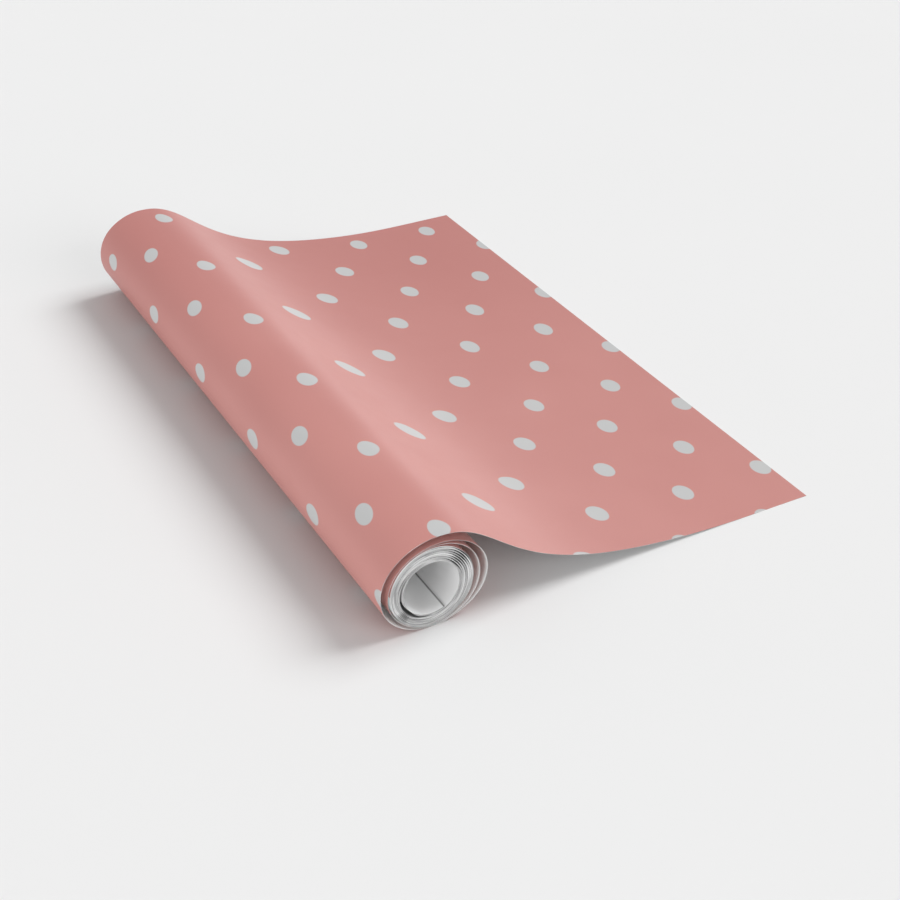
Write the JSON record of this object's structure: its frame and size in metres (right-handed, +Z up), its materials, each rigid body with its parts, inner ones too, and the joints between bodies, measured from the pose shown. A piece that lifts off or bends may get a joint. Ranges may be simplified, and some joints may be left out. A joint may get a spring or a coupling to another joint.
{
  "type": "wrapping paper roll",
  "caption": "Partly unrolled coreless roll of dotted gift wrapping paper; the free sheet falls from the top of the roll, lies flat on the table and rolls up again.",
  "frame": {"origin": "middle of the underside of the whole object, on the surface it lies on", "axes": "+Z up, Y along the axis of the roll, +X from the roll towards the free edge of the sheet"},
  "size_m": [0.3196, 0.5, 0.0657],
  "materials": {
    "printed_paper": "satin printed wrapping paper, pink with pale dots, unprinted on the back"
  },
  "bodies": {
    "wound_roll": {"wound_turn_01": "printed_paper", "wound_turn_02": "printed_paper", "wound_turn_03": "printed_paper", "wound_turn_04": "printed_paper", "wound_turn_05": "printed_paper", "wound_turn_06": "printed_paper", "wound_turn_07": "printed_paper", "wound_turn_08": "printed_paper", "wound_turn_09": "printed_paper", "wound_turn_10": "printed_paper", "wound_turn_11": "printed_paper", "wound_turn_12": "printed_paper"},
    "sheet_01": {"sheet_strip_01": "printed_paper"},
    "sheet_02": {"sheet_strip_02": "printed_paper"},
    "sheet_03": {"sheet_strip_03": "printed_paper"},
    "sheet_04": {"sheet_strip_04": "printed_paper"},
    "sheet_05": {"sheet_strip_05": "printed_paper"},
    "sheet_06": {"sheet_strip_06": "printed_paper"},
    "sheet_07": {"sheet_strip_07": "printed_paper"},
    "sheet_08": {"sheet_strip_08": "printed_paper"},
    "sheet_09": {"sheet_strip_09": "printed_paper"},
    "sheet_10": {"sheet_strip_10": "printed_paper"},
    "sheet_11": {"sheet_strip_11": "printed_paper"},
    "sheet_12": {"sheet_strip_12": "printed_paper"},
    "sheet_13": {"sheet_strip_13": "printed_paper"},
    "sheet_14": {"sheet_strip_14": "printed_paper"},
    "sheet_15": {"sheet_strip_15": "printed_paper"},
    "sheet_16": {"sheet_strip_16": "printed_paper"},
    "sheet_17": {"sheet_strip_17": "printed_paper"},
    "sheet_18": {"sheet_strip_18": "printed_paper"},
    "sheet_19": {"sheet_strip_19": "printed_paper"},
    "sheet_20": {"sheet_strip_20": "printed_paper"},
    "sheet_21": {"sheet_strip_21": "printed_paper"},
    "sheet_22": {"sheet_strip_22": "printed_paper"},
    "sheet_23": {"sheet_strip_23": "printed_paper"},
    "sheet_24": {"sheet_strip_24": "printed_paper"},
    "sheet_25": {"sheet_strip_25": "printed_paper"},
    "sheet_26": {"sheet_strip_26": "printed_paper"},
    "sheet_27": {"sheet_strip_27": "printed_paper"},
    "sheet_28": {"sheet_strip_28": "printed_paper"}
  },
  "joints": [
    {"name": "sheet_bend_01", "type": "hinge", "parent": "wound_roll", "child": "sheet_01", "pos_m": [-0.12158, 0, 0.06558], "axis": [0, 1, 0], "range_deg": [-0.26, 2.04], "stiffness_Nm_per_rad": 0.012},
    {"name": "sheet_bend_02", "type": "hinge", "parent": "sheet_01", "child": "sheet_02", "pos_m": [-0.1111, 0, 0.06446], "axis": [0, 1, 0], "range_deg": [-0.43, 3.45], "stiffness_Nm_per_rad": 0.012},
    {"name": "sheet_bend_03", "type": "hinge", "parent": "sheet_02", "child": "sheet_03", "pos_m": [-0.10113, 0, 0.06106], "axis": [0, 1, 0], "range_deg": [-0.66, 5.38], "stiffness_Nm_per_rad": 0.012},
    {"name": "sheet_bend_04", "type": "hinge", "parent": "sheet_03", "child": "sheet_04", "pos_m": [-0.09196, 0, 0.05583], "axis": [0, 1, 0], "range_deg": [-1.55, 12.78], "stiffness_Nm_per_rad": 0.012},
    {"name": "sheet_bend_05", "type": "hinge", "parent": "sheet_04", "child": "sheet_05", "pos_m": [-0.08335, 0, 0.04972], "axis": [0, 1, 0], "range_deg": [-2.19, 18.08], "stiffness_Nm_per_rad": 0.012},
    {"name": "sheet_bend_06", "type": "hinge", "parent": "sheet_05", "child": "sheet_06", "pos_m": [-0.07488, 0, 0.04341], "axis": [0, 1, 0], "range_deg": [-2.54, 20.98], "stiffness_Nm_per_rad": 0.012},
    {"name": "sheet_bend_07", "type": "hinge", "parent": "sheet_06", "child": "sheet_07", "pos_m": [-0.06624, 0, 0.03735], "axis": [0, 1, 0], "range_deg": [-2.72, 22.5], "stiffness_Nm_per_rad": 0.012},
    {"name": "sheet_roll_up", "type": "hinge", "parent": "sheet_07", "child": "sheet_08", "pos_m": [-0.05728, 0, 0.03176], "axis": [0, 1, 0], "range_deg": [-2.73, 22.75], "stiffness_Nm_per_rad": 0.012},
    {"name": "sheet_bend_09", "type": "hinge", "parent": "sheet_08", "child": "sheet_09", "pos_m": [-0.04797, 0, 0.02677], "axis": [0, 1, 0], "range_deg": [-2.26, 18.68], "stiffness_Nm_per_rad": 0.012},
    {"name": "sheet_bend_10", "type": "hinge", "parent": "sheet_09", "child": "sheet_10", "pos_m": [-0.03836, 0, 0.02239], "axis": [0, 1, 0], "range_deg": [-2.23, 18.41], "stiffness_Nm_per_rad": 0.012},
    {"name": "sheet_bend_11", "type": "hinge", "parent": "sheet_10", "child": "sheet_11", "pos_m": [-0.02851, 0, 0.0186], "axis": [0, 1, 0], "range_deg": [-2.18, 18.05], "stiffness_Nm_per_rad": 0.012},
    {"name": "sheet_bend_12", "type": "hinge", "parent": "sheet_11", "child": "sheet_12", "pos_m": [-0.01847, 0, 0.01533], "axis": [0, 1, 0], "range_deg": [-2.16, 17.89], "stiffness_Nm_per_rad": 0.012},
    {"name": "sheet_bend_13", "type": "hinge", "parent": "sheet_12", "child": "sheet_13", "pos_m": [-0.00828, 0, 0.01254], "axis": [0, 1, 0], "range_deg": [-2.12, 17.52], "stiffness_Nm_per_rad": 0.012},
    {"name": "sheet_bend_14", "type": "hinge", "parent": "sheet_13", "child": "sheet_14", "pos_m": [0.002, 0, 0.01016], "axis": [0, 1, 0], "range_deg": [-2.12, 17.53], "stiffness_Nm_per_rad": 0.012},
    {"name": "sheet_bend_15", "type": "hinge", "parent": "sheet_14", "child": "sheet_15", "pos_m": [0.01237, 0, 0.00813], "axis": [0, 1, 0], "range_deg": [-2.47, 20.44], "stiffness_Nm_per_rad": 0.012},
    {"name": "sheet_bend_16", "type": "hinge", "parent": "sheet_15", "child": "sheet_16", "pos_m": [0.02279, 0, 0.0064], "axis": [0, 1, 0], "range_deg": [-2.44, 20.2], "stiffness_Nm_per_rad": 0.012},
    {"name": "sheet_bend_17", "type": "hinge", "parent": "sheet_16", "child": "sheet_17", "pos_m": [0.03324, 0, 0.00493], "axis": [0, 1, 0], "range_deg": [-2.42, 19.98], "stiffness_Nm_per_rad": 0.012},
    {"name": "sheet_bend_18", "type": "hinge", "parent": "sheet_17", "child": "sheet_18", "pos_m": [0.04373, 0, 0.00368], "axis": [0, 1, 0], "range_deg": [-2.39, 19.8], "stiffness_Nm_per_rad": 0.012},
    {"name": "sheet_bend_19", "type": "hinge", "parent": "sheet_18", "child": "sheet_19", "pos_m": [0.05424, 0, 0.00262], "axis": [0, 1, 0], "range_deg": [-2.25, 18.57], "stiffness_Nm_per_rad": 0.012},
    {"name": "sheet_bend_20", "type": "hinge", "parent": "sheet_19", "child": "sheet_20", "pos_m": [0.06476, 0, 0.00175], "axis": [0, 1, 0], "range_deg": [-1.92, 15.89], "stiffness_Nm_per_rad": 0.012},
    {"name": "sheet_bend_21", "type": "hinge", "parent": "sheet_20", "child": "sheet_21", "pos_m": [0.0753, 0, 0.00107], "axis": [0, 1, 0], "range_deg": [-1.93, 15.91], "stiffness_Nm_per_rad": 0.012},
    {"name": "sheet_bend_22", "type": "hinge", "parent": "sheet_21", "child": "sheet_22", "pos_m": [0.08585, 0, 0.00061], "axis": [0, 1, 0], "range_deg": [-1.93, 15.9], "stiffness_Nm_per_rad": 0.012},
    {"name": "sheet_bend_23", "type": "hinge", "parent": "sheet_22", "child": "sheet_23", "pos_m": [0.09641, 0, 0.00033], "axis": [0, 1, 0], "range_deg": [-1.95, 16.09], "stiffness_Nm_per_rad": 0.012},
    {"name": "sheet_bend_24", "type": "hinge", "parent": "sheet_23", "child": "sheet_24", "pos_m": [0.10697, 0, 0.00019], "axis": [0, 1, 0], "range_deg": [-1.92, 15.82], "stiffness_Nm_per_rad": 0.012},
    {"name": "sheet_bend_25", "type": "hinge", "parent": "sheet_24", "child": "sheet_25", "pos_m": [0.11753, 0, 0.00014], "axis": [0, 1, 0], "range_deg": [-1.89, 15.62], "stiffness_Nm_per_rad": 0.012},
    {"name": "sheet_bend_26", "type": "hinge", "parent": "sheet_25", "child": "sheet_26", "pos_m": [0.12809, 0, 0.00013], "axis": [0, 1, 0], "range_deg": [-1.89, 15.57], "stiffness_Nm_per_rad": 0.012},
    {"name": "sheet_bend_27", "type": "hinge", "parent": "sheet_26", "child": "sheet_27", "pos_m": [0.13865, 0, 0.00013], "axis": [0, 1, 0], "range_deg": [-1.88, 15.51], "stiffness_Nm_per_rad": 0.012},
    {"name": "sheet_bend_28", "type": "hinge", "parent": "sheet_27", "child": "sheet_28", "pos_m": [0.14921, 0, 0.00013], "axis": [0, 1, 0], "range_deg": [-1.88, 15.51], "stiffness_Nm_per_rad": 0.012}
  ],
  "couplings": [
    {"joint": "sheet_bend_01", "follows": "sheet_roll_up", "ratio": 0.0888},
    {"joint": "sheet_bend_02", "follows": "sheet_roll_up", "ratio": 0.1508},
    {"joint": "sheet_bend_03", "follows": "sheet_roll_up", "ratio": 0.2356},
    {"joint": "sheet_bend_04", "follows": "sheet_roll_up", "ratio": 0.5609},
    {"joint": "sheet_bend_05", "follows": "sheet_roll_up", "ratio": 0.7938},
    {"joint": "sheet_bend_06", "follows": "sheet_roll_up", "ratio": 0.9213},
    {"joint": "sheet_bend_07", "follows": "sheet_roll_up", "ratio": 0.9881},
    {"joint": "sheet_bend_09", "follows": "sheet_roll_up", "ratio": 0.8202},
    {"joint": "sheet_bend_10", "follows": "sheet_roll_up", "ratio": 0.8084},
    {"joint": "sheet_bend_11", "follows": "sheet_roll_up", "ratio": 0.7925},
    {"joint": "sheet_bend_12", "follows": "sheet_roll_up", "ratio": 0.7855},
    {"joint": "sheet_bend_13", "follows": "sheet_roll_up", "ratio": 0.7692},
    {"joint": "sheet_bend_14", "follows": "sheet_roll_up", "ratio": 0.7697},
    {"joint": "sheet_bend_15", "follows": "sheet_roll_up", "ratio": 0.8976},
    {"joint": "sheet_bend_16", "follows": "sheet_roll_up", "ratio": 0.887},
    {"joint": "sheet_bend_17", "follows": "sheet_roll_up", "ratio": 0.8774},
    {"joint": "sheet_bend_18", "follows": "sheet_roll_up", "ratio": 0.8695},
    {"joint": "sheet_bend_19", "follows": "sheet_roll_up", "ratio": 0.8154},
    {"joint": "sheet_bend_20", "follows": "sheet_roll_up", "ratio": 0.6976},
    {"joint": "sheet_bend_21", "follows": "sheet_roll_up", "ratio": 0.6985},
    {"joint": "sheet_bend_22", "follows": "sheet_roll_up", "ratio": 0.698},
    {"joint": "sheet_bend_23", "follows": "sheet_roll_up", "ratio": 0.7064},
    {"joint": "sheet_bend_24", "follows": "sheet_roll_up", "ratio": 0.6945},
    {"joint": "sheet_bend_25", "follows": "sheet_roll_up", "ratio": 0.6857},
    {"joint": "sheet_bend_26", "follows": "sheet_roll_up", "ratio": 0.6835},
    {"joint": "sheet_bend_27", "follows": "sheet_roll_up", "ratio": 0.6809},
    {"joint": "sheet_bend_28", "follows": "sheet_roll_up", "ratio": 0.6809}
  ]
}
